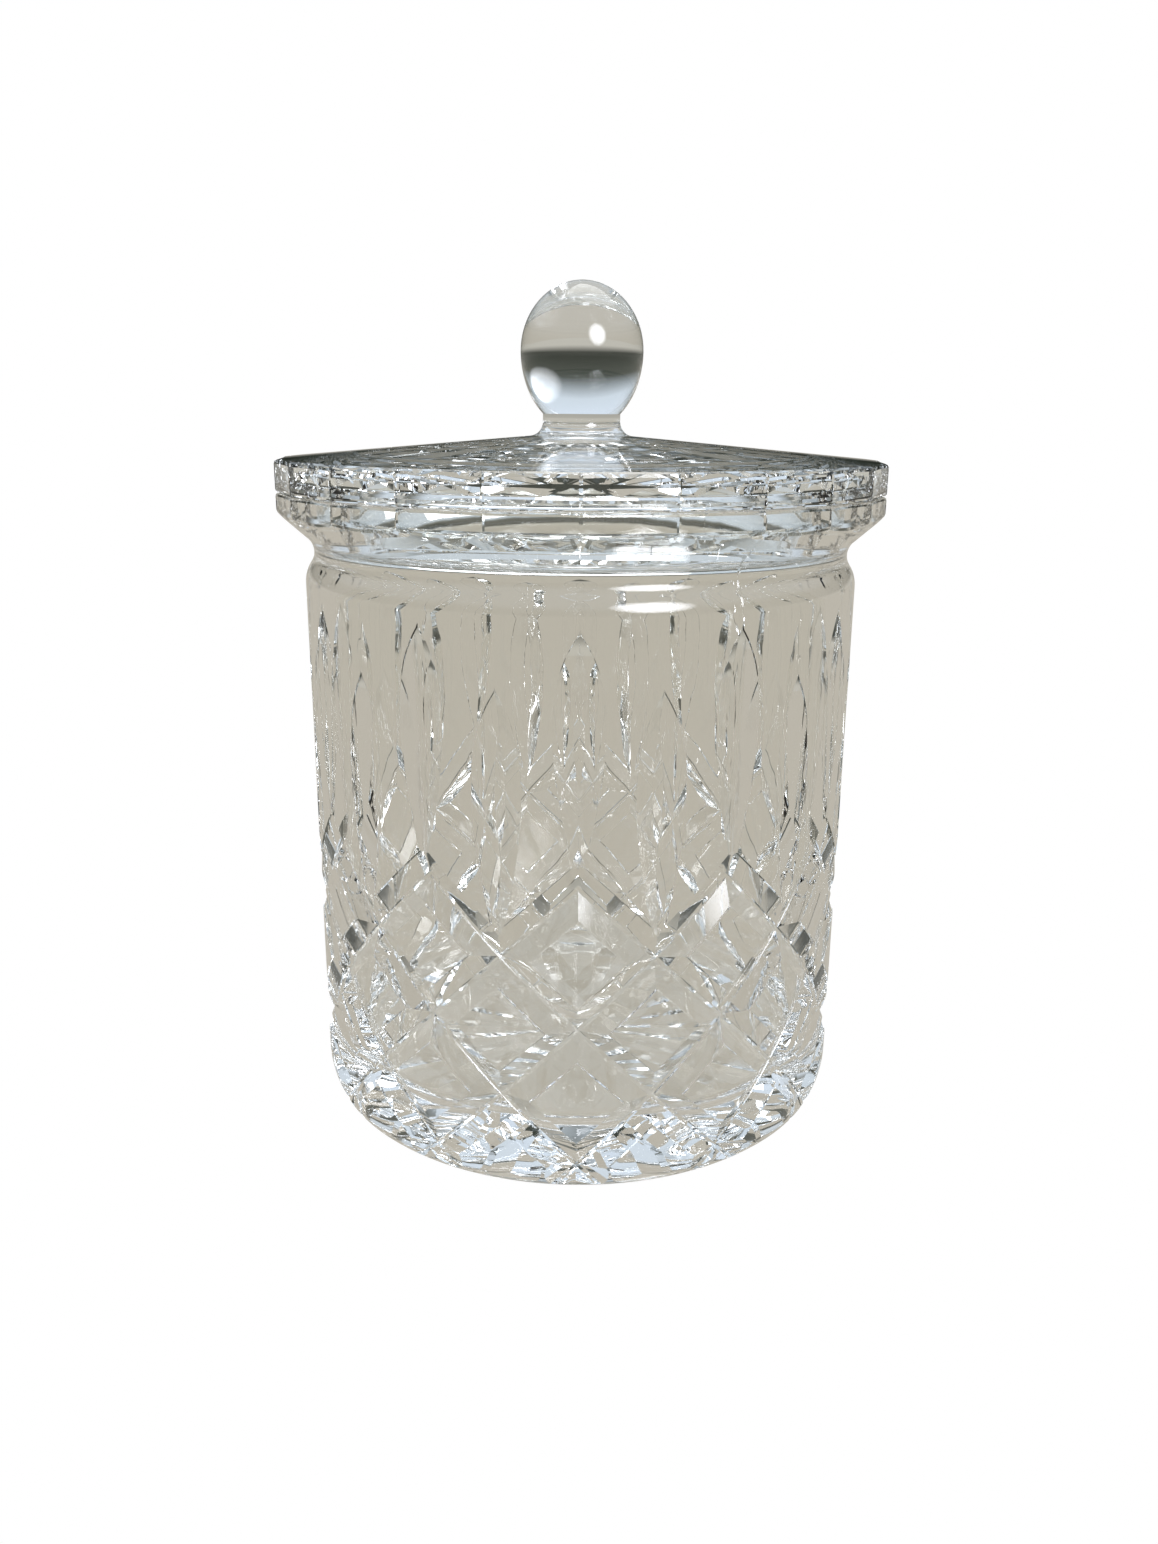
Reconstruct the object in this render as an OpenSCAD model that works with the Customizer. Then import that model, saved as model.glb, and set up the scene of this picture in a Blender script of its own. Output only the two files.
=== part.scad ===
// Covered jar in clear pressed crystal: a straight-walled body with leaf and
// diamond cuts, and a flat lid with a ball knob that drops into the mouth.
// Millimetres, +Z up, origin at the centre of the base.

/* [Jar body] */
// Outer diameter of the straight wall
wall_d = 119.4; // [90:0.1:160]
// Thickness of the side wall
wall_t = 5.7; // [4.7:0.1:9]
// Height from the base to the seat of the rim
jar_h = 135.6; // [112:0.1:180]
// Thickness of the floor
floor_t = 11.5; // [8:0.1:20]
// Radius of the fillet between the floor and the inside of the wall
floor_fillet = 6; // [2:0.5:12]
// Height of the rounded heel
heel_h = 8; // [4:0.5:14]
// How far the heel draws in at the base
heel_inset = 2.3; // [1:0.1:5]

/* [Rim] */
// Number of flat sides round the rim and the lid
rim_sides = 24; // [16:1:36]
// How far the corners of the rim stand out from the wall
rim_overhang = 5.3; // [3:0.1:9]
// Height from the middle of the neck groove to the seat
rim_h = 12.4; // [10:0.1:20]
// Depth of the neck groove under the rim
neck_inset = 2.05; // [1:0.05:3]
// Radius of the hollow of the neck groove
neck_fillet = 4.3; // [2:0.1:6]
// Slope of the shoulder where it enters the groove, from upright
shoulder_angle = 35; // [25:1:45]
// Slope of the flare under the rim, from upright
flare_angle = 48; // [35:1:60]

/* [Diamond band] */
// Number of diamonds round the body
diamonds = 12; // [8:1:16]
// Height of one diamond
diamond_h = 30; // [20:0.5:36]
// Height of the plain heel band under the diamonds
diamond_base = 5.2; // [3:0.1:12]
// Depth of the cuts between the diamonds
mitre_depth = 1.6; // [0.8:0.1:2.4]
// Width of the flat at the bottom of each cut
mitre_flat = 1.3; // [0.6:0.1:2.5]
// Slope of the walls of each cut, from the surface
mitre_slope = 60; // [45:1:80]

/* [Leaf cuts] */
// Greatest width of a leaf cut
leaf_w = 10; // [6:0.5:13]
// Width of the flat along the middle of a leaf
leaf_flat = 2.2; // [1:0.1:4]
// Slope of the two sides of a leaf, from the surface
leaf_slope = 19; // [12:1:30]
// Gap between the tips of the tall leaves and the shoulder
leaf_gap = 2; // [1:0.5:10]
// How far the short leaves stop below the tall ones
short_drop = 10.9; // [4:0.1:20]

/* [Stars under the base and the lid] */
// Number of rays in each star
rays = 24; // [12:2:28]
// Depth of a ray
ray_depth = 1.5; // [0.8:0.1:2]
// Share of the circle that the outer ends of the rays take up
ray_fill = 0.8; // [0.4:0.05:0.9]
// Radius at which the rays begin
ray_start_r = 9; // [8:0.5:16]
// Width of the plain ring round the base star
base_margin = 8; // [4:0.5:15]

/* [Lid] */
// Height of the upright edge of the lid
lid_edge_h = 6.7; // [4:0.1:12]
// Rise of the top from the edge to the foot of the knob
lid_rise = 4.6; // [2:0.1:10]
// Thickness of the plate inside the locating ring
plate_t = 6; // [4:0.1:9]
// Size of the bevel round the top edge
lid_bevel = 0.9; // [0.3:0.1:2]
// Depth of the locating ring below the seat
ring_depth = 5; // [3:0.1:9]
// Radial thickness of the locating ring
ring_t = 4; // [3:0.1:8]
// Radial gap between the locating ring and the mouth
ring_gap = 0.6; // [0.3:0.1:1.5]

/* [Knob] */
// Diameter of the ball
knob_d = 26; // [18:0.5:36]
// Height of the upper half of the ball
knob_top_h = 14.3; // [9:0.1:20]
// Height of the lower half of the ball, to the neck
knob_low_h = 12.6; // [8:0.1:18]
// Diameter of the neck
knob_neck_d = 16.6; // [10:0.1:17.5]
// Height of the upright neck
knob_neck_h = 1.6; // [0.5:0.1:5]
// Radius of the flare at the foot of the neck
knob_flare = 3; // [1:0.1:6]

/* [Hidden] */
$fn = 96;
over = 1;
clear = 0.4;
wall_r = wall_d / 2;
inside_r = wall_r - wall_t;
rim_r = wall_r + rim_overhang;
rim_flat_r = rim_r * cos(180 / rim_sides);
neck_r = wall_r - neck_inset;
neck_z = jar_h - rim_h;
shoulder_r = neck_inset / (1 - cos(shoulder_angle)) - neck_fillet;
shoulder_z = neck_z - (neck_fillet + shoulder_r) * sin(shoulder_angle);
heel_r = (heel_h * heel_h + heel_inset * heel_inset) / (2 * heel_inset);
heel_angle = asin(heel_h / heel_r);
pitch = 360 / diamonds;
diamond_top = diamond_base + 2 * diamond_h;
short_low = diamond_top - diamond_h / 2;
tall_tip = shoulder_z - leaf_gap;
short_tip = tall_tip - short_drop;
ring_r = inside_r - ring_gap;
ring_in_r = ring_r - ring_t;
lid_top_r = rim_flat_r - lid_bevel;
lid_edge_z = jar_h + lid_edge_h;
foot_r = knob_neck_d / 2 + knob_flare;
foot_z = lid_edge_z + lid_rise;
top_slope = atan(lid_rise / (lid_top_r - foot_r));
neck_low = foot_z + knob_flare;
ball_z = neck_low + knob_neck_h + knob_low_h;

// Points along an arc of radius r round [x, y]
function arc(x, y, r, from, to, steps) =
    [for (i = [0:steps])
        let (a = from + (to - from) * i / steps)
        [x + r * cos(a), y + r * sin(a)]];

// Height of the lid's sloping top at radius r
function lid_top_z(r) = lid_edge_z + (lid_top_r - r) * tan(top_slope);

// Radius of a cutting wheel whose cut is length long and depth deep
function wheel_r(length, depth) = length * length / (8 * depth);

// Depth at which a wheel of the given slope leaves a cut of width w in a
// wall of radius r, measured at the wheel's sharp edge
function cut_depth(w, slope, r) = w / 2 * tan(slope) + w * w / (8 * r);

// Half outline of the outside, the rim left wide for its flat sides
module body_outline() {
    flare_x = neck_r + neck_fillet * (1 - cos(flare_angle));
    flare_z = neck_z + neck_fillet * sin(flare_angle);
    wide = rim_r + over;
    polygon(concat(
        [[0, 0]],
        arc(wall_r - heel_r, heel_h, heel_r, -heel_angle, 0, 6),
        arc(wall_r - shoulder_r, shoulder_z, shoulder_r, 0, shoulder_angle, 5),
        arc(neck_r + neck_fillet, neck_z, neck_fillet,
            180 + shoulder_angle, 180 - flare_angle, 8),
        [[wide, flare_z + (wide - flare_x) / tan(flare_angle)],
         [wide, jar_h],
         [0, jar_h]]));
}

// Half outline of the hollow inside
module hollow_outline() {
    polygon(concat(
        [[0, floor_t]],
        arc(inside_r - floor_fillet, floor_t + floor_fillet, floor_fillet, -90, 0, 6),
        [[inside_r, jar_h + over],
         [0, jar_h + over]]));
}

// Upright prism with the flat sides that the rim and the lid share
module sided_prism(z, h) {
    translate([0, 0, z])
        linear_extrude(h)
            polygon([for (i = [0:rim_sides - 1])
                let (a = -90 + i * 360 / rim_sides)
                [rim_r * cos(a), rim_r * sin(a)]]);
}

// Arc of a sharp-edged cutting wheel, its axis along Y, facing towards -X
module wheel(r, slope, reach, length) {
    turn = asin(length / 2 / r) + 3;
    rotate([90, 0, 0])
        rotate(180 - turn)
            rotate_extrude(angle = 2 * turn)
                polygon([[r, 0],
                         [r - reach, reach / tan(slope)],
                         [r - reach, -reach / tan(slope)]]);
}

// Upright leaf in the wall, its lower and upper tips at low and high
module leaf(low, high) {
    depth = cut_depth(leaf_w, leaf_slope, wall_r);
    r = wheel_r(high - low, depth);
    translate([wall_r - depth + r, 0, (low + high) / 2])
        wheel(r, leaf_slope, depth + clear, high - low);
}

// All leaves, tall and short in turn, with the flat along their middles
module leaves() {
    depth = cut_depth(leaf_w, leaf_slope, wall_r);
    flat_depth = depth - leaf_flat / 2 * tan(leaf_slope);
    difference() {
        for (i = [0:diamonds - 1]) {
            rotate(-90 + i * pitch)
                leaf(diamond_top, tall_tip);
            rotate(-90 + (i + 0.5) * pitch)
                leaf(short_low, short_tip);
        }
        cylinder(r = wall_r - flat_depth, h = jar_h);
    }
}

// Solid that stands where one diamond is left, its middle at height z
module diamond(z) {
    half_w = wall_r * sin(pitch / 2);
    half_h = diamond_h / 2;
    lean = atan(half_h / half_w);
    side = half_w * sin(lean) * 2 - mitre_flat;
    low = mitre_depth + clear + wall_r * (1 - cos(pitch / 2));
    high = 2 * mitre_depth;
    gain = low / tan(mitre_slope);
    loss = high / tan(mitre_slope);
    intersection_for (turn = [-lean, lean])
        translate([wall_r, 0, z])
            rotate([turn, 0, 0])
                rotate([90, 0, 90])
                    rotate([0, 90, 0])
                        translate([0, 0, -diamond_h])
                            linear_extrude(2 * diamond_h)
                                polygon([[low, -side / 2 - gain],
                                         [low, side / 2 + gain],
                                         [-high, side / 2 - loss],
                                         [-high, -side / 2 + loss]]);
}

// Grooves between the diamonds: a ring cut away all but the diamonds
module mitres() {
    difference() {
        translate([0, 0, diamond_base])
            difference() {
                cylinder(r = wall_r + over, h = 2 * diamond_h);
                translate([0, 0, -over])
                    cylinder(r = wall_r - mitre_depth, h = 2 * diamond_h + 2 * over);
            }
        for (i = [0:diamonds - 1], row = [0:4])
            rotate(-90 + (i + (row % 2 == 0 ? 0.5 : 0)) * pitch)
                diamond(diamond_base + row * diamond_h / 2);
    }
}

// Ring of rays cut up into an underside at height z, each widest at its outer end
module star(z, inner_r, outer_r) {
    length = outer_r - inner_r;
    half_w = ray_fill * outer_r * sin(180 / rays);
    skin = 0.1;
    for (i = [0:rays - 1])
        rotate(-90 + i * 360 / rays)
            intersection() {
                translate([outer_r, 0, z])
                    rotate([0, -atan(ray_depth / length), 0])
                        rotate([90, 0, -90])
                            linear_extrude(length * 1.1)
                                polygon([[-half_w * 2, -ray_depth],
                                         [half_w * 2, -ray_depth],
                                         [0, ray_depth]]);
                translate([inner_r / 2, -half_w * 2, z - skin])
                    cube([outer_r, half_w * 4, 2 * ray_depth]);
            }
}

// Body in one pressed piece: wall, floor, rim, cuts and base star
module jar_body() {
    color([0.86, 0.87, 0.84, 0.45])
        difference() {
            intersection() {
                rotate_extrude()
                    body_outline();
                sided_prism(0, jar_h);
            }
            rotate_extrude()
                hollow_outline();
            leaves();
            mitres();
            star(0, ray_start_r, wall_r - heel_inset - base_margin);
        }
}

// Half outline of the lid's plate, ring and edge, without the knob
module lid_outline() {
    wide = rim_r + over;
    polygon([[0, lid_top_z(ring_in_r) - plate_t],
             [ring_in_r, lid_top_z(ring_in_r) - plate_t],
             [ring_in_r, jar_h - ring_depth],
             [ring_r, jar_h - ring_depth],
             [ring_r, jar_h],
             [wide, jar_h],
             [wide, lid_edge_z - lid_bevel - (wide - rim_flat_r)],
             [lid_top_r, lid_edge_z],
             [foot_r, foot_z],
             [0, foot_z]]);
}

// Half outline of the knob, from inside the plate to the top of the ball
module knob_outline() {
    neck = knob_neck_d / 2;
    ball = knob_d / 2;
    low_turn = acos(neck / ball);
    polygon(concat(
        [[0, foot_z - 1],
         [foot_r, foot_z - 1]],
        arc(foot_r, neck_low, knob_flare, 270, 180, 5),
        [for (i = [0:7])
            let (a = -low_turn * (1 - i / 8))
            [ball * cos(a), ball_z + knob_low_h * sin(a) / sin(low_turn)]],
        [for (i = [0:10])
            let (a = 9 * i)
            [ball * cos(a), ball_z + knob_top_h * sin(a)]]));
}

// Lid in one pressed piece: plate, locating ring, rays and knob
module lid() {
    color([0.88, 0.89, 0.87, 0.45])
        difference() {
            union() {
                intersection() {
                    rotate_extrude()
                        lid_outline();
                    sided_prism(jar_h - ring_depth, ring_depth + lid_edge_h + lid_rise);
                }
                rotate_extrude()
                    knob_outline();
            }
            star(lid_top_z(ring_in_r) - plate_t, ray_start_r, ring_in_r - over);
        }
}

jar_body();
lid();
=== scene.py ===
"""Covered powder jar in clear pressed crystal: the looks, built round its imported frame.

The jar is two pieces of glass, the body and the lid. Each is turned from an outline with
the flat-sided rim built in, then cut with rings of leaf, mitre and star cuts. All places
come from the frame's own boxes. Everything is in metres, +Z up, front towards -Y.
"""

import logging
import math
from dataclasses import dataclass
from typing import Callable, Sequence

import bmesh
import bpy
from mathutils import Matrix, Vector

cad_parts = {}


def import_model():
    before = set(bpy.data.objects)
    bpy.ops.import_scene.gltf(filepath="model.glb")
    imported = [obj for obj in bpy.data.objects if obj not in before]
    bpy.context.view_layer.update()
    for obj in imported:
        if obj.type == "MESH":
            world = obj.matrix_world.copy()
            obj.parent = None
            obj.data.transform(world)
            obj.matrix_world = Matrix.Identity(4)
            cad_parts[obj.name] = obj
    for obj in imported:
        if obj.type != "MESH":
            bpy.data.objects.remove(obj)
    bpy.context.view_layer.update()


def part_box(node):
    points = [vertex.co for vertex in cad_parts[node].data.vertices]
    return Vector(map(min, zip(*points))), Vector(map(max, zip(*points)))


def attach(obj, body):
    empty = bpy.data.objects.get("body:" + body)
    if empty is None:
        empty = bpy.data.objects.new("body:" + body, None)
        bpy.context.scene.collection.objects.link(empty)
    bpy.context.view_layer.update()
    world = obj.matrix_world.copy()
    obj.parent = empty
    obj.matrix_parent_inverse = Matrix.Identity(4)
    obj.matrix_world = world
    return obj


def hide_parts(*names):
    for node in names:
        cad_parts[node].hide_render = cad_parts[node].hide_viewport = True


MM = 0.001
FULL_TURN = math.tau
FRONT = -90.0  # degrees round the axis; angles start at +X
CRISP_TURN = 11.0  # degrees; an edge that turns more than this stays crisp
SAME_POINT = 1e-7
WELD = 5e-6
SLIVER = 2e-6
COLUMNS_PER_SIDE = 15
Outline = list[tuple[float, float]]
log = logging.getLogger("powder_jar")


# --------------------------------------------------------------------------- helpers


def linear(hex_colour: str) -> tuple[float, float, float, float]:
    """Turns an sRGB hex colour into linear RGBA.

    Args:
        hex_colour: Six hex digits, such as "d8d2c6".

    Returns:
        The linear red, green, blue and an alpha of 1.
    """
    parts = [int(hex_colour[i : i + 2], 16) / 255 for i in (0, 2, 4)]
    red, green, blue = [p / 12.92 if p <= 0.04045 else ((p + 0.055) / 1.055) ** 2.4 for p in parts]
    return red, green, blue, 1.0


def add_node(
    tree: bpy.types.NodeTree, kind: str, links: dict | None = None, **settings: object
) -> bpy.types.Node:
    """Adds one node, sets it up and links it.

    Args:
        tree: The tree that the node goes into.
        kind: The node's type name.
        links: Input name or index to the socket that feeds it, or to a plain value.
        settings: Properties of the node itself.

    Returns:
        The new node.
    """
    node = tree.nodes.new(kind)
    for name, value in settings.items():
        setattr(node, name, value)
    for key, value in (links or {}).items():
        if isinstance(value, bpy.types.NodeSocket):
            tree.links.new(value, node.inputs[key])
        else:
            node.inputs[key].default_value = value
    return node


def arc(centre: tuple[float, float], radius: float, start: float, end: float, steps: int) -> Outline:
    """Points along an arc, both ends included.

    Args:
        centre: Centre of the arc as (radius from the axis, height).
        radius: Radius of the arc.
        start: First angle in degrees.
        end: Last angle in degrees.
        steps: Number of chords.

    Returns:
        The points as (radius, height).
    """
    angles = [math.radians(start + (end - start) * i / steps) for i in range(steps + 1)]
    return [(centre[0] + radius * math.cos(a), centre[1] + radius * math.sin(a)) for a in angles]


def between(start: tuple[float, float], end: tuple[float, float], steps: int) -> Outline:
    """Points inside a straight line, both ends left out.

    Args:
        start: First end of the line.
        end: Last end of the line.
        steps: Number of equal parts.

    Returns:
        The points as (radius, height).
    """
    return [
        (start[0] + (end[0] - start[0]) * i / steps, start[1] + (end[1] - start[1]) * i / steps)
        for i in range(1, steps)
    ]


def build_mesh(name: str, points: Sequence[Vector], faces: Sequence[Sequence[int]]) -> bpy.types.Object:
    """Makes a mesh object at the origin, its faces pointing outwards.

    Args:
        name: Name of the object and its mesh.
        points: Vertex places.
        faces: Vertex numbers of each face.

    Returns:
        The object, linked to the scene.
    """
    mesh = bpy.data.meshes.new(name)
    mesh.from_pydata([tuple(p) for p in points], [], [tuple(f) for f in faces])
    work = bmesh.new()
    work.from_mesh(mesh)
    bmesh.ops.remove_doubles(work, verts=work.verts, dist=SAME_POINT)
    bmesh.ops.recalc_face_normals(work, faces=work.faces)
    work.to_mesh(mesh)
    work.free()
    piece = bpy.data.objects.new(name, mesh)
    bpy.context.scene.collection.objects.link(piece)
    return piece


def turned(name: str, angles: Sequence[float], outline_at: Callable[[float], Outline]) -> bpy.types.Object:
    """Turns an outline that may change with the angle into a closed solid.

    Args:
        name: Name of the object.
        angles: Angles of the columns in radians.
        outline_at: Gives the outline at an angle, from pole to pole on the axis.

    Returns:
        The closed mesh object.
    """
    points: list[Vector] = []
    faces: list[tuple[int, ...]] = []
    columns = [outline_at(a) for a in angles]
    rows = len(columns[0])
    for angle, outline in zip(angles, columns):
        for radius, height in outline[1:-1]:
            points.append(Vector((radius * math.cos(angle), radius * math.sin(angle), height)))
    first_pole, last_pole = len(points), len(points) + 1
    points += [Vector((0, 0, columns[0][0][1])), Vector((0, 0, columns[0][-1][1]))]
    step = rows - 2
    for i in range(len(angles)):
        here, there = i * step, (i + 1) % len(angles) * step
        faces.append((first_pole, there, here))
        faces += [(here + k, there + k, there + k + 1, here + k + 1) for k in range(step - 1)]
        faces.append((here + step - 1, there + step - 1, last_pole))
    return build_mesh(name, points, faces)


def swept(name: str, sections: Sequence[Sequence[Vector]]) -> bpy.types.Object:
    """Closes a row of equal sections into a solid cutter.

    Args:
        name: Name of the object.
        sections: Closed sections with the same number of points each.

    Returns:
        The closed mesh object.
    """
    size = len(sections[0])
    points = [p for section in sections for p in section]
    faces: list[tuple[int, ...]] = [tuple(range(size)), tuple(range(len(points) - size, len(points)))]
    for i in range(len(sections) - 1):
        for k in range(size):
            after = (k + 1) % size
            faces.append((i * size + k, i * size + after, (i + 1) * size + after, (i + 1) * size + k))
    return build_mesh(name, points, faces)


# --------------------------------------------------------------------------- cutting


class RingCutter:
    """Cuts a ring of equal cuts into a blank, as a wheel does on an indexing lathe."""

    TREE = "ring of cuts"

    def __init__(self) -> None:
        """Builds the Geometry Nodes tree once."""
        self.tree = self._build_tree()

    def _build_tree(self) -> bpy.types.NodeTree:
        """Builds the tree: copies of one cutter round the axis, taken out of the blank.

        Returns:
            The tree, with named inputs for the cutter, the count and the first angle.
        """
        tree = bpy.data.node_groups.new(self.TREE, "GeometryNodeTree")
        face = tree.interface
        face.new_socket("Blank", in_out="INPUT", socket_type="NodeSocketGeometry")
        face.new_socket("Cutter", in_out="INPUT", socket_type="NodeSocketObject")
        face.new_socket("Count", in_out="INPUT", socket_type="NodeSocketInt")
        face.new_socket("First angle", in_out="INPUT", socket_type="NodeSocketFloat")
        face.new_socket("Material", in_out="INPUT", socket_type="NodeSocketMaterial")
        face.new_socket("Cut blank", in_out="OUTPUT", socket_type="NodeSocketGeometry")
        given = add_node(tree, "NodeGroupInput").outputs
        index = add_node(tree, "GeometryNodeInputIndex").outputs[0]
        step = add_node(
            tree, "ShaderNodeMath", {0: FULL_TURN, 1: given["Count"]}, operation="DIVIDE"
        ).outputs[0]
        turn = add_node(
            tree, "ShaderNodeMath", {0: index, 1: step, 2: given["First angle"]}, operation="MULTIPLY_ADD"
        ).outputs[0]
        rotation = add_node(tree, "ShaderNodeCombineXYZ", {"Z": turn}).outputs[0]
        places = add_node(tree, "GeometryNodePoints", {"Count": given["Count"]}).outputs[0]
        cutter = add_node(tree, "GeometryNodeObjectInfo", {"Object": given["Cutter"], "As Instance": True})
        copies = add_node(
            tree,
            "GeometryNodeInstanceOnPoints",
            {"Points": places, "Instance": cutter.outputs["Geometry"], "Rotation": rotation},
        ).outputs[0]
        solid = add_node(tree, "GeometryNodeRealizeInstances", {0: copies}).outputs[0]
        cut = add_node(
            tree,
            "GeometryNodeMeshBoolean",
            {"Mesh 1": given["Blank"], "Mesh 2": solid},
            operation="DIFFERENCE",
            solver="MANIFOLD",
        ).outputs[0]
        whole = add_node(tree, "GeometryNodeRealizeInstances", {0: cut}).outputs[0]
        dressed = add_node(
            tree, "GeometryNodeSetMaterial", {"Geometry": whole, "Material": given["Material"]}
        ).outputs[0]
        add_node(tree, "NodeGroupOutput", {0: dressed})
        return tree

    def cut(
        self,
        blank: bpy.types.Object,
        cutter: bpy.types.Object,
        count: int,
        first: float,
        finish: bpy.types.Material,
    ) -> None:
        """Cuts one ring and bakes the result into the blank's mesh.

        Args:
            blank: The piece being cut.
            cutter: One cutter, in place for an angle of zero (+X).
            count: How many cuts the ring has.
            first: Angle of the first cut in degrees.
            finish: Material of the piece.
        """
        ids = {s.name: s.identifier for s in self.tree.interface.items_tree if s.in_out == "INPUT"}
        ring = blank.modifiers.new(cutter.name, "NODES")
        ring.node_group = self.tree
        ring[ids["Cutter"]] = cutter
        ring[ids["Count"]] = count
        ring[ids["First angle"]] = math.radians(first)
        ring[ids["Material"]] = finish
        bake(blank)
        log.info("%s: %d x %s, %d faces", blank.name, count, cutter.name, len(blank.data.polygons))


def bake(piece: bpy.types.Object) -> None:
    """Turns a piece's live modifiers into plain mesh.

    Args:
        piece: The piece whose modifiers are baked and removed.
    """
    bpy.context.view_layer.update()
    seen = piece.evaluated_get(bpy.context.evaluated_depsgraph_get())
    mesh = bpy.data.meshes.new_from_object(seen)
    old = piece.data
    piece.modifiers.clear()
    piece.data = mesh
    mesh.name = piece.name
    bpy.data.meshes.remove(old)


def discard(*cutters: bpy.types.Object) -> None:
    """Removes cutters that have done their work."""
    for cutter in cutters:
        bpy.data.objects.remove(cutter)


def polish(piece: bpy.types.Object) -> None:
    """Cleans the mesh of a cut piece and shades it: smooth, but crisp at its edges.

    Args:
        piece: The finished piece.
    """
    work = bmesh.new()
    work.from_mesh(piece.data)
    bmesh.ops.remove_doubles(work, verts=work.verts, dist=WELD)
    bmesh.ops.dissolve_degenerate(work, edges=work.edges, dist=SLIVER)
    bmesh.ops.recalc_face_normals(work, faces=work.faces)
    open_edges = sum(1 for e in work.edges if len(e.link_faces) != 2)
    log.info("%s: %d faces, %d open edges", piece.name, len(work.faces), open_edges)
    work.to_mesh(piece.data)
    work.free()
    piece.data.shade_smooth()
    piece.data.set_sharp_from_angle(angle=math.radians(CRISP_TURN))


# --------------------------------------------------------------------------- geometry


@dataclass(frozen=True)
class Rim:
    """The flat-sided ring shape that the jar's rim and the lid's edge share.

    Each side is slightly hollow, and a thin bead stands at each corner.
    """

    corner_r: float
    sides: int = 24
    first: float = FRONT
    corner_round: float = 0.03 * MM
    hollow: float = 0.32 * MM
    bead: float = 0.12 * MM
    bead_turn: float = 0.0055

    def radius_at(self, angle: float) -> float:
        """Radius of the flat-sided shape at an angle.

        Args:
            angle: Angle round the axis in radians.

        Returns:
            Distance from the axis to the side.
        """
        half = math.pi / self.sides
        off_corner = (angle - math.radians(self.first)) % (2 * half)
        flat = self.corner_r * math.cos(half) / math.cos(off_corner - half)
        if min(off_corner, 2 * half - off_corner) < self.bead_turn / 2:
            return self.corner_r - self.corner_round
        dip = self.hollow * (1 - ((off_corner - half) / half) ** 2)
        return flat - dip - self.bead

    def columns(self, per_side: int) -> list[float]:
        """Angles of the mesh columns, with one on each corner and one either side of its bead.

        Args:
            per_side: Number of evenly spaced columns on one flat side.

        Returns:
            Angles in radians, in order.
        """
        side = FULL_TURN / self.sides
        clear = side - 2 * self.bead_turn
        inner = [self.bead_turn + clear * k / (per_side - 1) for k in range(per_side)]
        start = math.radians(self.first)
        return [start + i * side + a for i in range(self.sides) for a in [0.0, *inner]]


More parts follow.
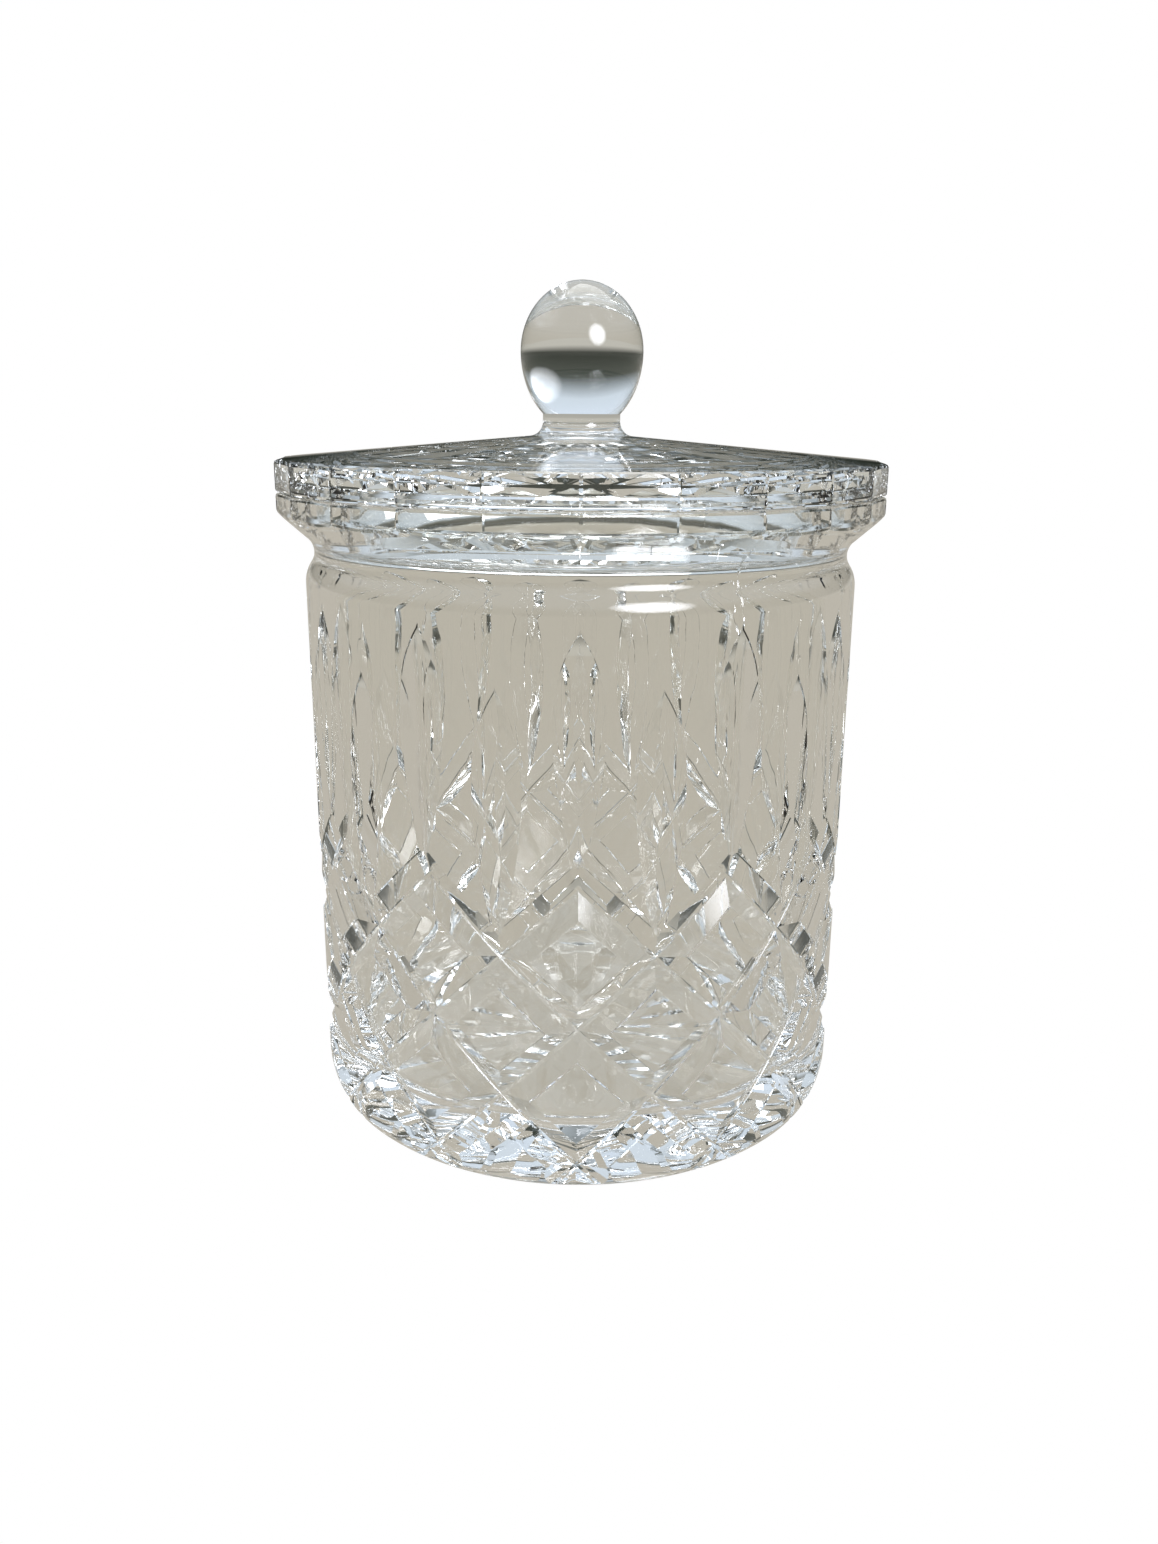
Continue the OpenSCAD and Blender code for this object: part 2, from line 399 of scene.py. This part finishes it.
@dataclass
class JarBody:
    """The jar: wall, floor, heel, neck groove, rim, leaves, diamonds and base star."""

    rim: Rim
    height: float
    wall_r: float = 59.7 * MM
    inside_r: float = 54.0 * MM
    floor: float = 11.5 * MM
    floor_fillet: float = 6 * MM
    dish: float = 0.4 * MM
    heel_h: float = 8 * MM
    heel_inset: float = 2.3 * MM
    rim_h: float = 12.4 * MM
    neck_inset: float = 2.05 * MM
    neck_fillet: float = 4.3 * MM
    shoulder_angle: float = 35
    flare_angle: float = 48
    edge_round: float = 0.7 * MM
    diamonds: int = 12
    diamond_h: float = 30 * MM
    diamond_base: float = 5.2 * MM
    leaf_w: float = 10 * MM
    leaf_flat: float = 2.2 * MM
    leaf_slope: float = 30
    leaf_belly: float = 0.58
    leaf_blunt: float = 3.0
    leaf_taper: float = 1.5
    lip: float = 0.3 * MM
    lip_slope: float = 60
    step: float = 0.16 * MM
    leaf_gap: float = 2 * MM
    short_drop: float = 10.9 * MM
    mitre_depth: float = 2.0 * MM
    mitre_half_w: float = 4.2 * MM
    mitre_reach: float = 2.25
    groove_half_w: float = 0.5 * MM
    groove_step: float = 0.2 * MM
    strip_half_w: float = 0.3 * MM
    tip_gap: float = 0.35 * MM
    star_start: float = 2.5 * MM
    star_margin: float = 8 * MM
    star_depth: float = 1.0 * MM
    seams: int = 3
    seam_angle: float = -60
    seam_h: float = 0.14 * MM
    seam_reach: float = 1e-4

    @property
    def pitch(self) -> float:
        """Angle from one diamond to the next, in radians."""
        return FULL_TURN / self.diamonds

    @property
    def diamond_top(self) -> float:
        """Height of the top points of the diamond band."""
        return self.diamond_base + 2 * self.diamond_h

    @property
    def neck_z(self) -> float:
        """Height of the middle of the neck groove."""
        return self.height - self.rim_h

    @property
    def shoulder_r(self) -> float:
        """Radius of the shoulder's rounding."""
        return self.neck_inset / (1 - math.cos(math.radians(self.shoulder_angle))) - self.neck_fillet

    @property
    def shoulder_z(self) -> float:
        """Height at which the straight wall ends."""
        turn = math.radians(self.shoulder_angle)
        return self.neck_z - (self.neck_fillet + self.shoulder_r) * math.sin(turn)

    def on_seam(self, angle: float) -> bool:
        """Tells whether a column of the blank lies on a seam of the mould.

        Args:
            angle: Angle round the axis in radians.

        Returns:
            True on a seam.
        """
        apart = FULL_TURN / self.seams
        off = (angle - math.radians(self.seam_angle)) % apart
        return min(off, apart - off) < self.seam_reach

    def outline(self, angle: float) -> Outline:
        """Outline of the blank at an angle, from under the base to the inner floor.

        Args:
            angle: Angle round the axis in radians.

        Returns:
            Points as (radius, height), pole to pole.
        """
        heel_r = (self.heel_h**2 + self.heel_inset**2) / (2 * self.heel_inset)
        heel_turn = math.degrees(math.asin(self.heel_h / heel_r))
        base_r = self.wall_r - self.heel_inset
        neck_r = self.wall_r - self.neck_inset
        side_r = self.rim.radius_at(angle)
        flare = math.radians(self.flare_angle)
        flare_r = neck_r + self.neck_fillet * (1 - math.cos(flare))
        flare_z = self.neck_z + self.neck_fillet * math.sin(flare)
        corner_z = flare_z + (side_r - flare_r) / math.tan(flare)
        e = self.edge_round
        points = [(0.0, 0.0), (0.35 * base_r, 0.0), (0.7 * base_r, 0.0)]
        points += arc((base_r - e, e), e, -90, -heel_turn, 4)
        points += arc((self.wall_r - heel_r, self.heel_h), heel_r, -heel_turn, 0, 8)[1:]
        points += between((self.wall_r, self.heel_h), (self.wall_r, self.shoulder_z), 14)
        seam_start = len(points)
        shoulder = (self.wall_r - self.shoulder_r, self.shoulder_z)
        points += arc(shoulder, self.shoulder_r, 0, self.shoulder_angle, 6)
        points += arc(
            (neck_r + self.neck_fillet, self.neck_z),
            self.neck_fillet,
            180 + self.shoulder_angle,
            180 - self.flare_angle,
            14,
        )[1:]
        if self.on_seam(angle):
            raised = [(r + self.seam_h, z) for r, z in points[seam_start:]]
            points[seam_start:] = raised
        points += [(side_r - 1.5 * e * math.sin(flare), corner_z - 1.5 * e * math.cos(flare))]
        points += [(side_r - 0.35 * e, corner_z - 0.15 * e), (side_r, corner_z + 0.7 * e)]
        points += [(side_r, self.height - e)]
        points += arc((side_r - e, self.height - e), e, 0, 90, 3)[1:]
        points += arc((self.inside_r + e, self.height - e), e, 90, 180, 3)
        low = self.floor + self.floor_fillet
        points += between((self.inside_r, self.height - e), (self.inside_r, low), 12)
        points += arc((self.inside_r - self.floor_fillet, low), self.floor_fillet, 0, -90, 9)
        points += [(0.5 * self.inside_r, self.floor - 0.625 * self.dish), (0.0, self.floor - self.dish)]
        return points

    def leaf_cutter(self, low: float, high: float) -> bpy.types.Object:
        """One upright leaf: blunt above, long and tapering below, with a strip along its middle.

        Args:
            low: Height of the lower tip.
            high: Height of the upper tip.

        Returns:
            The cutter at an angle of zero.
        """
        slope = math.tan(math.radians(self.leaf_slope))
        steep = math.tan(math.radians(self.lip_slope))
        deepest = self.leaf_w / 2 * slope + self.leaf_w**2 / (8 * self.wall_r)
        flat_depth = deepest - self.leaf_flat / 2 * slope
        proud = 0.5 * MM
        widest = low + self.leaf_belly * (high - low)
        over, steps, hair = 1.1, 60, 0.01 * MM
        sections = []
        for i in range(steps + 1):
            t = -over + 2 * over * i / steps
            end, power = (high, self.leaf_blunt) if t > 0 else (low, self.leaf_taper)
            depth = deepest * (1 - abs(t) ** power)
            flat = max(2 * hair, (depth - flat_depth) / slope)
            bottom = min(depth, flat_depth)
            lip = min(self.lip, bottom)
            edge = flat + hair + (bottom - lip) / slope
            wide = edge + (lip + proud) / steep
            strip = max(hair, flat - self.step / steep)
            floor = bottom + (flat - strip) * steep
            z = widest + abs(t) * (end - widest)
            side = [(wide, -proud), (edge, lip), (flat, bottom), (strip, floor)]
            rows = [(-u, d) for u, d in side] + list(reversed(side))
            sections.append([Vector((self.wall_r - d, u, z)) for u, d in rows])
        return swept("leaf", sections)

    def mitre_cutter(self) -> bpy.types.Object:
        """One chevron of slanting mitre cuts, its point at the top of the diamond band.

        Returns:
            The cutter at an angle of zero.
        """
        rise = self.diamond_h / (self.pitch * self.wall_r)
        upright = math.sqrt(1 + rise * rise)
        proud = 0.4 * MM
        groove = self.mitre_depth + self.groove_step
        wide = self.mitre_half_w + (self.lip + proud) / math.tan(math.radians(self.lip_slope))
        side = [(wide, -proud), (self.mitre_half_w, self.lip), (self.groove_half_w, self.mitre_depth)]
        side += [(self.strip_half_w, groove)]
        rows = [(-t, d) for t, d in side] + list(reversed(side))
        reach = self.mitre_reach * self.pitch
        steps = 72
        drift = 0.03 * MM  # keeps the floors of grooves that cross from lying level
        sections = []
        for i in range(-steps, steps + 1):
            angle = reach * i / steps
            z = self.diamond_top - abs(angle) * self.wall_r * rise
            extra = drift * i / steps
            section = []
            for t, d in rows:
                r = self.wall_r - (d + extra if d > 0 else d)
                section.append(Vector((r * math.cos(angle), r * math.sin(angle), z + t * upright)))
            sections.append(section)
        return swept("mitre", sections)

    def build(self, rings: RingCutter, finish: bpy.types.Material) -> bpy.types.Object:
        """Turns the blank and cuts it.

        Args:
            rings: The ring cutter.
            finish: Crystal of the body.

        Returns:
            The finished body.
        """
        body = turned("jar_body_crystal", self.rim.columns(COLUMNS_PER_SIDE), self.outline)
        body.data.materials.append(finish)
        tip = self.shoulder_z - self.leaf_gap
        half_pitch = math.degrees(self.pitch) / 2
        tall = self.leaf_cutter(self.diamond_top - self.tip_gap, tip)
        short = self.leaf_cutter(self.diamond_top - self.diamond_h / 2, tip - self.short_drop)
        chevron = self.mitre_cutter()
        rings.cut(body, tall, self.diamonds, FRONT, finish)
        rings.cut(body, short, self.diamonds, FRONT + half_pitch, finish)
        for k in range(self.diamonds // 2):
            rings.cut(body, chevron, 2, FRONT + 2 * half_pitch * k, finish)
        star_end = self.wall_r - self.heel_inset - self.star_margin
        star = StarCut(0.0, self.star_start, star_end, self.star_depth)
        ray = star.cutter()
        rings.cut(body, ray, star.rays, FRONT, finish)
        discard(tall, short, chevron, ray)
        polish(body)
        return body


@dataclass
class StarCut:
    """A sunburst of rays cut up into an underside, each widest and deepest at its outer end.

    The cut deepens with the distance from its start, as a share of the outer radius, so it
    is somewhat shallower than the stated depth at the outer end.
    """

    base_z: float
    inner_r: float
    outer_r: float
    depth: float
    rays: int = 24
    fill: float = 0.86
    start_share: float = 0.98
    draft: float = 0.2

    def cutter(self) -> bpy.types.Object:
        """One ray at an angle of zero.

        Returns:
            The cutter.
        """
        below, least = 0.3 * MM, 1e-5
        sections = []
        for r in (self.inner_r, self.outer_r):
            share = (r - self.inner_r * self.start_share) / self.outer_r
            half = self.fill * r * math.sin(math.pi / self.rays)
            depth = self.depth * share
            spread = half * (1 + below / max(depth, least) * self.draft)
            rows = [(-spread, -below), (spread, -below), (half, 0.0), (0.0, depth), (-half, 0.0)]
            sections.append([Vector((r, u, self.base_z + z)) for u, z in rows])
        return swept("ray", sections)


@dataclass
class Lid:
    """The lid: plate with a flat-sided edge, locating ring, rays under it and ball knob."""

    rim: Rim
    seat_z: float
    top_z: float
    edge_h: float = 6.7 * MM
    rise: float = 4.6 * MM
    plate_t: float = 6 * MM
    bevel: float = 0.9 * MM
    seat_gap: float = 0.15 * MM
    ring_r: float = 53.4 * MM
    ring_t: float = 4 * MM
    ring_depth: float = 5 * MM
    knob_r: float = 13 * MM
    knob_top_h: float = 14.3 * MM
    knob_low_h: float = 12.6 * MM
    neck_r: float = 8.3 * MM
    flare: float = 3 * MM
    ray_start: float = 13 * MM
    ray_margin: float = 5 * MM
    ray_depth: float = 2.0 * MM

    @property
    def flat_r(self) -> float:
        """Radius at which the sloping top ends, over the middle of a flat side."""
        return self.rim.corner_r * math.cos(math.pi / self.rim.sides) - self.bevel

    @property
    def edge_z(self) -> float:
        """Height of the top of the edge."""
        return self.seat_z + self.edge_h

    @property
    def foot_r(self) -> float:
        """Radius at which the neck's flare meets the plate."""
        return self.neck_r + self.flare

    @property
    def slope(self) -> float:
        """Rise of the plate per unit of radius."""
        return self.rise / (self.flat_r - self.foot_r)

    @property
    def ring_in(self) -> float:
        """Inner radius of the locating ring."""
        return self.ring_r - self.ring_t

    @property
    def under_z(self) -> float:
        """Height of the flat underside, inside the locating ring."""
        return self.edge_z + (self.flat_r - self.ring_in) * self.slope - self.plate_t

    def outline(self, angle: float) -> Outline:
        """Outline of the lid at an angle, from under the plate to the top of the knob.

        Args:
            angle: Angle round the axis in radians.

        Returns:
            Points as (radius, height), pole to pole.
        """
        side_r = self.rim.radius_at(angle)
        flat_r, foot_r, slope = self.flat_r, self.foot_r, self.slope
        ring_in, under_z = self.ring_in, self.under_z
        foot_z = self.edge_z + self.rise
        seat = self.seat_z + self.seat_gap
        low = self.seat_z - self.ring_depth
        e = 0.6 * MM
        points = [(0.0, under_z), (0.3 * ring_in, under_z), (0.7 * ring_in, under_z)]
        points += [(ring_in - 3 * e, under_z)]
        points += arc((ring_in - 3 * e, under_z - 3 * e), 3 * e, 90, 0, 4)[1:]
        points += between((ring_in, under_z - 3 * e), (ring_in, low + e), 3)
        points += arc((ring_in + e, low + e), e, 180, 270, 3)
        points += arc((self.ring_r - e, low + e), e, -90, 0, 3)
        points += between((self.ring_r, low + e), (self.ring_r, seat), 3)
        points += [(self.ring_r, seat), (0.5 * (self.ring_r + side_r), seat), (side_r - e, seat)]
        points += arc((side_r - e, seat + e), e, -90, 0, 3)[1:]
        b = self.bevel
        top_at_side = self.edge_z + (flat_r - side_r + b) * slope
        points += [(side_r, top_at_side - b), (side_r - 0.25 * b, top_at_side - 0.35 * b)]
        points += [(side_r - b, top_at_side)]
        run_in = 1.2 * MM
        points += between((side_r - b, top_at_side), (foot_r + run_in, foot_z - run_in * slope), 10)
        neck_low = foot_z + self.flare
        points += arc((foot_r, neck_low), self.flare, 268, 180, 9)
        turn = math.acos(self.neck_r / self.knob_r)
        ball_z = self.top_z - self.knob_top_h
        points += between((self.neck_r, neck_low), (self.neck_r, ball_z - self.knob_low_h), 2)
        low_steps, top_steps = 13, 18
        low_scale = self.knob_low_h / math.sin(turn)
        for i in range(low_steps):
            a = -turn * (1 - i / low_steps)
            points.append((self.knob_r * math.cos(a), ball_z + low_scale * math.sin(a)))
        for i in range(top_steps):
            a = math.pi / 2 * i / top_steps
            points.append((self.knob_r * math.cos(a), ball_z + self.knob_top_h * math.sin(a)))
        points.append((0.0, self.top_z))
        return points

    def build(self, rings: RingCutter, finish: bpy.types.Material) -> bpy.types.Object:
        """Turns the lid and cuts the rays under it.

        Args:
            rings: The ring cutter.
            finish: Crystal of the lid.

        Returns:
            The finished lid.
        """
        lid = turned("lid_crystal", self.rim.columns(COLUMNS_PER_SIDE), self.outline)
        lid.data.materials.append(finish)
        star = StarCut(self.under_z, self.ray_start, self.ring_in - self.ray_margin, self.ray_depth)
        ray = star.cutter()
        rings.cut(lid, ray, star.rays, FRONT, finish)
        discard(ray)
        polish(lid)
        return lid


# --------------------------------------------------------------------------- finishes


@dataclass(frozen=True)
class CrystalFinish:
    """Clear crystal, pressed in a polished mould and fire polished.

    The eye sees clean refraction with a slight waviness and almost no colour.
    """

    name: str
    tint: str
    ior: float = 1.53
    roughness: float = 0.0
    wave_mm: float = 9.0
    wave_depth_mm: float = 0.04

    def material(self) -> bpy.types.Material:
        """Builds the material.

        Returns:
            The crystal material.
        """
        material = bpy.data.materials.new(self.name)
        material.use_nodes = True
        tree = material.node_tree
        tree.nodes.clear()
        place = add_node(tree, "ShaderNodeTexCoord").outputs["Object"]
        wave = add_node(
            tree,
            "ShaderNodeTexNoise",
            {"Vector": place, "Scale": 1 / (self.wave_mm * MM), "Detail": 2.0, "Roughness": 0.4},
        ).outputs["Fac"]
        bump = add_node(
            tree,
            "ShaderNodeBump",
            {"Height": wave, "Strength": 1.0, "Distance": self.wave_depth_mm * MM},
        ).outputs["Normal"]
        glass = add_node(
            tree,
            "ShaderNodeBsdfPrincipled",
            {
                "Base Color": linear(self.tint),
                "Roughness": self.roughness,
                "IOR": self.ior,
                "Transmission Weight": 1.0,
                "Normal": bump,
            },
        )
        add_node(tree, "ShaderNodeOutputMaterial", {"Surface": glass.outputs[0]})
        return material


# --------------------------------------------------------------------------- studio


@dataclass
class Studio:
    """Pale floor, soft light and the camera."""

    focal: float = 1251.0
    image_h: int = 1544
    sensor_mm: float = 36.0
    camera_place: tuple[float, float, float] = (0.0, -0.2793, 0.1524)
    camera_pitch: float = 16.16
    camera_roll: float = 0.42
    floor_half: float = 2.0
    floor_drop: float = 0.2 * MM
    floor_tone: str = "beb9ae"
    white: str = "ffffff"
    disc_toward: tuple[float, float, float] = (0.36, -0.62, 0.32)
    disc_outer: float = 0.955
    disc_inner: float = 0.985
    disc_tone: str = "f4f7ff"
    disc_glow: float = 16.0
    lamp_place: tuple[float, float, float] = (0.2, 0.3, 1.4)
    lamp_size: tuple[float, float] = (1.2, 1.0)
    lamp_watts: float = 8.0
    aim_h: float = 0.1
    clear_bounces: int = 32
    glossy_bounces: int = 16
    tones: tuple[tuple[float, str], ...] = (
        (0.0, "bcb9b0"),
        (0.49, "c4c1b8"),
        (0.52, "2a2f29"),
        (0.62, "4b504a"),
        (0.73, "d3dfeb"),
        (0.9, "dfecfc"),
    )

    def camera(self) -> None:
        """Sets the camera at a hand's height in front of the jar, looking down at it."""
        data = bpy.data.cameras.new("camera")
        data.sensor_fit = "AUTO"
        data.sensor_width = self.sensor_mm
        data.lens = self.sensor_mm * self.focal / self.image_h
        camera = bpy.data.objects.new("camera", data)
        bpy.context.scene.collection.objects.link(camera)
        pitch, roll = math.radians(self.camera_pitch), math.radians(self.camera_roll)
        camera.matrix_world = (
            Matrix.Translation(self.camera_place)
            @ Matrix.Rotation(math.pi / 2 - pitch, 4, "X")
            @ Matrix.Rotation(roll, 4, "Z")
        )
        bpy.context.scene.camera = camera

    def floor(self) -> None:
        """Lays a plain pale floor: white seen directly, one warm tone seen through the glass."""
        half = self.floor_half
        around = ((-half, -half), (half, -half), (half, half), (-half, half))
        corners = [Vector((x, y, -self.floor_drop)) for x, y in around]
        floor = build_mesh("floor", corners, [(0, 1, 2, 3)])
        material = bpy.data.materials.new("pale floor")
        material.use_nodes = True
        tree = material.node_tree
        tree.nodes.clear()
        path = add_node(tree, "ShaderNodeLightPath").outputs["Is Camera Ray"]
        seen = add_node(tree, "ShaderNodeEmission", {"Color": linear(self.white), "Strength": 1.0})
        warm = add_node(
            tree, "ShaderNodeEmission", {"Color": linear(self.floor_tone), "Strength": 1.0}
        )
        mix = add_node(
            tree, "ShaderNodeMixShader", {0: path, 1: warm.outputs[0], 2: seen.outputs[0]}
        )
        add_node(tree, "ShaderNodeOutputMaterial", {"Surface": mix.outputs[0]})
        floor.data.materials.append(material)

    @staticmethod
    def ramp(
        tree: bpy.types.NodeTree, feed: bpy.types.NodeSocket, stops: Sequence[tuple[float, str]]
    ) -> bpy.types.NodeSocket:
        """Adds a colour ramp.

        Args:
            tree: The tree that the ramp goes into.
            feed: The socket that drives it.
            stops: Places from 0 to 1 with their hex colours.

        Returns:
            The colour socket.
        """
        node = add_node(tree, "ShaderNodeValToRGB", {0: feed})
        elements = node.color_ramp.elements
        while len(elements) < len(stops):
            elements.new(1.0)
        for element, (at, colour) in zip(elements, stops):
            element.position = at
            element.color = linear(colour)
        return node.outputs[0]

    def world(self) -> None:
        """Sets the plain soft light of the room: pale below, dim at eye level, bright above.

        A round diffuser glows in front on the right. Seen directly, the room is plain white.
        """
        world = bpy.data.worlds.new("studio")
        bpy.context.scene.world = world
        world.use_nodes = True
        tree = world.node_tree
        tree.nodes.clear()
        place = add_node(tree, "ShaderNodeTexCoord").outputs["Generated"]
        height = add_node(tree, "ShaderNodeSeparateXYZ", {0: place}).outputs["Z"]
        share = add_node(
            tree, "ShaderNodeMath", {0: height, 1: 0.5, 2: 0.5}, operation="MULTIPLY_ADD"
        ).outputs[0]
        wall = self.ramp(tree, share, self.tones)
        toward = Vector(self.disc_toward).normalized()
        near = add_node(
            tree, "ShaderNodeVectorMath", {0: place, 1: toward}, operation="DOT_PRODUCT"
        ).outputs["Value"]
        disc = add_node(
            tree,
            "ShaderNodeMapRange",
            {"Value": near, "From Min": self.disc_outer, "From Max": self.disc_inner},
        ).outputs[0]
        room = add_node(tree, "ShaderNodeBackground", {"Color": wall, "Strength": 1.0})
        glow = add_node(
            tree,
            "ShaderNodeBackground",
            {"Color": linear(self.disc_tone), "Strength": self.disc_glow},
        )
        inside = add_node(
            tree, "ShaderNodeMixShader", {0: disc, 1: room.outputs[0], 2: glow.outputs[0]}
        )
        path = add_node(tree, "ShaderNodeLightPath").outputs["Is Camera Ray"]
        seen = add_node(
            tree, "ShaderNodeBackground", {"Color": linear(self.white), "Strength": 1.0}
        )
        mix = add_node(
            tree, "ShaderNodeMixShader", {0: path, 1: inside.outputs[0], 2: seen.outputs[0]}
        )
        add_node(tree, "ShaderNodeOutputWorld", {"Surface": mix.outputs[0]})

    def overhead(self) -> None:
        """Hangs the soft overhead light, aimed at the jar."""
        data = bpy.data.lights.new("overhead diffuser", "AREA")
        data.shape = "RECTANGLE"
        data.size, data.size_y = self.lamp_size
        data.energy = self.lamp_watts
        light = bpy.data.objects.new("overhead diffuser", data)
        light.visible_camera = False
        bpy.context.scene.collection.objects.link(light)
        place = Vector(self.lamp_place)
        turn = (Vector((0, 0, self.aim_h)) - place).to_track_quat("-Z", "Y")
        light.matrix_world = Matrix.Translation(place) @ turn.to_matrix().to_4x4()

    def build(self) -> None:
        """Sets up everything round the jar."""
        self.camera()
        self.floor()
        self.world()
        self.overhead()
        scene = bpy.context.scene
        scene.view_settings.view_transform = "Standard"
        scene.cycles.max_bounces = self.clear_bounces
        scene.cycles.transmission_bounces = self.clear_bounces
        scene.cycles.glossy_bounces = self.glossy_bounces


# --------------------------------------------------------------------------- main


def main() -> None:
    """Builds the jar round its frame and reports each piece."""
    logging.basicConfig(level=logging.INFO, format="%(name)s: %(message)s")
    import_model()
    Studio().build()
    jar_low, jar_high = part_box("jar_body")
    lid_low, lid_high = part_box("lid")
    rim = Rim(corner_r=jar_high.x)
    rings = RingCutter()
    jar_crystal = CrystalFinish("pressed crystal, jar", "fbfbf9").material()
    lid_crystal = CrystalFinish("pressed crystal, lid", "fbfcfb", wave_depth_mm=0.015).material()
    body = JarBody(rim=rim, height=jar_high.z).build(rings, jar_crystal)
    lid = Lid(rim=rim, seat_z=jar_high.z, top_z=lid_high.z).build(rings, lid_crystal)
    for piece, node, slot, carrier in (
        (body, "jar_body", "jar_crystal", "jar"),
        (lid, "lid", "lid_crystal", "lid"),
    ):
        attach(piece, carrier)
        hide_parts(node)
        log.info("%s: %d faces", piece.name, len(piece.data.polygons))


if __name__ == "__main__":
    main()
